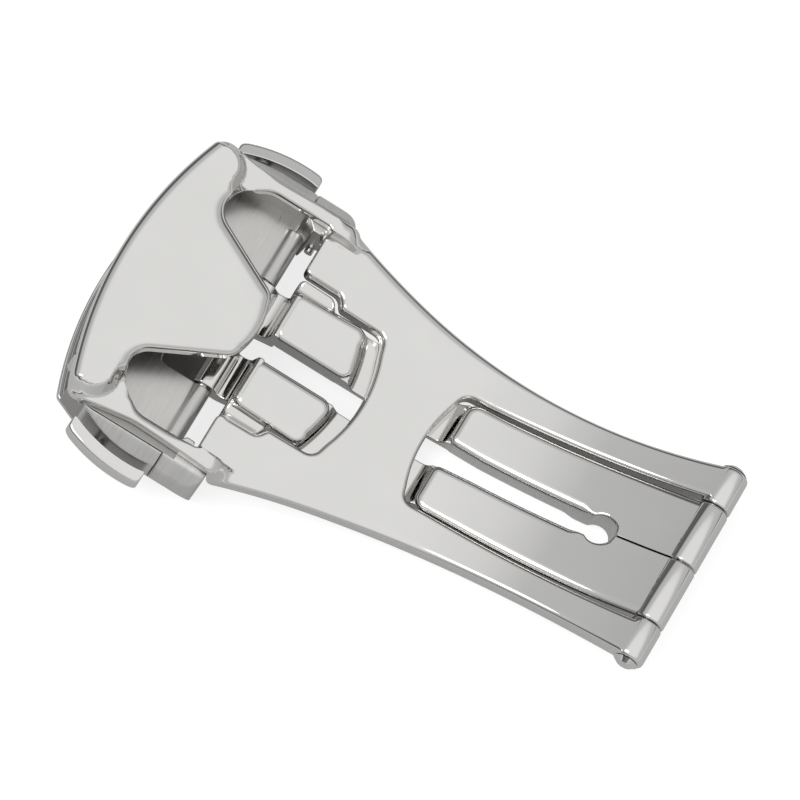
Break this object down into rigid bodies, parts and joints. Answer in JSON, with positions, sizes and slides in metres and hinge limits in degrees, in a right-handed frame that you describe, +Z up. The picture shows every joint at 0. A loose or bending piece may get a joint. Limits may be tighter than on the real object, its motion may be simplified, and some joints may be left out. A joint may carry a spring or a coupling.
{
  "type": "deployant clasp",
  "caption": "Folding push-button watch strap clasp: curved inner blade with a flap, split centre blade and a head with side buttons.",
  "frame": {"origin": "middle of the bounding box, on the surface that the closed clasp rests on", "axes": "+X from the head towards the fold hinge, +Y across the strap, +Z up, with the wrist side uppermost"},
  "size_m": [0.0482, 0.0276, 0.0117],
  "materials": {
    "polished_steel": "mirror polished",
    "brushed_steel": "fine brushed satin",
    "spring_steel": "drawn wire"
  },
  "bodies": {
    "head": {"head_frame": "brushed_steel", "floor_plate": "brushed_steel", "cover": "polished_steel", "head_hinge_pin": "polished_steel", "strap_stud": "polished_steel", "side_cheek_left": "brushed_steel", "side_cheek_right": "brushed_steel", "lever_pin_left": "polished_steel", "lever_pin_right": "polished_steel", "lever_spring_left": "spring_steel", "lever_spring_right": "spring_steel"},
    "centre_blades": {"centre_blade_left": "polished_steel", "centre_blade_right": "polished_steel"},
    "inner": {"inner_blade": "polished_steel", "fold_hinge_pin": "polished_steel", "spring_bar_tube": "polished_steel", "spring_bar_spring": "spring_steel"},
    "button_left": {"button_left": "polished_steel"},
    "button_right": {"button_right": "polished_steel"},
    "catch_lever_left": {"catch_lever_left": "brushed_steel"},
    "catch_lever_right": {"catch_lever_right": "brushed_steel"},
    "spring_bar_tip_left": {"spring_bar_tip_left": "polished_steel"},
    "spring_bar_tip_right": {"spring_bar_tip_right": "polished_steel"}
  },
  "joints": [
    {"name": "head_hinge", "type": "hinge", "parent": "head", "child": "centre_blades", "pos_m": [-0.01331, 0, 0.00476], "axis": [0, -1, 0], "range_deg": [0, 130]},
    {"name": "fold_hinge", "type": "hinge", "parent": "centre_blades", "child": "inner", "pos_m": [0.02292, 0, 0.00327], "axis": [0, 1, 0], "range_deg": [0, 130]},
    {"name": "button_left_press", "type": "slide", "parent": "head", "child": "button_left", "axis": [0, -1, 0], "range_m": [0, 0.00045], "stiffness_N_per_m": 2500},
    {"name": "catch_left_turn", "type": "hinge", "parent": "head", "child": "catch_lever_left", "pos_m": [-0.01485, 0.0105, 0.00341], "axis": [0.2507, 0, 0.9681], "range_deg": [0, 8.11], "deforming": ["lever_spring_left"]},
    {"name": "spring_bar_tip_left_slide", "type": "slide", "parent": "inner", "child": "spring_bar_tip_left", "axis": [0, -1, 0], "range_m": [0, 0.0009], "stiffness_N_per_m": 1500, "deforming": ["spring_bar_spring"]},
    {"name": "button_right_press", "type": "slide", "parent": "head", "child": "button_right", "axis": [0, 1, 0], "range_m": [0, 0.00045], "stiffness_N_per_m": 2500},
    {"name": "catch_right_turn", "type": "hinge", "parent": "head", "child": "catch_lever_right", "pos_m": [-0.01485, -0.0105, 0.00341], "axis": [-0.2507, 0, -0.9681], "range_deg": [0, 8.11], "deforming": ["lever_spring_right"]},
    {"name": "spring_bar_tip_right_slide", "type": "slide", "parent": "inner", "child": "spring_bar_tip_right", "axis": [0, 1, 0], "range_m": [0, 0.0009], "stiffness_N_per_m": 1500, "deforming": ["spring_bar_spring"]}
  ],
  "couplings": [
    {"joint": "fold_hinge", "follows": "head_hinge", "ratio": 1},
    {"joint": "catch_left_turn", "follows": "button_left_press", "rad_per_m": 312.5},
    {"joint": "catch_right_turn", "follows": "button_right_press", "rad_per_m": 312.5}
  ]
}
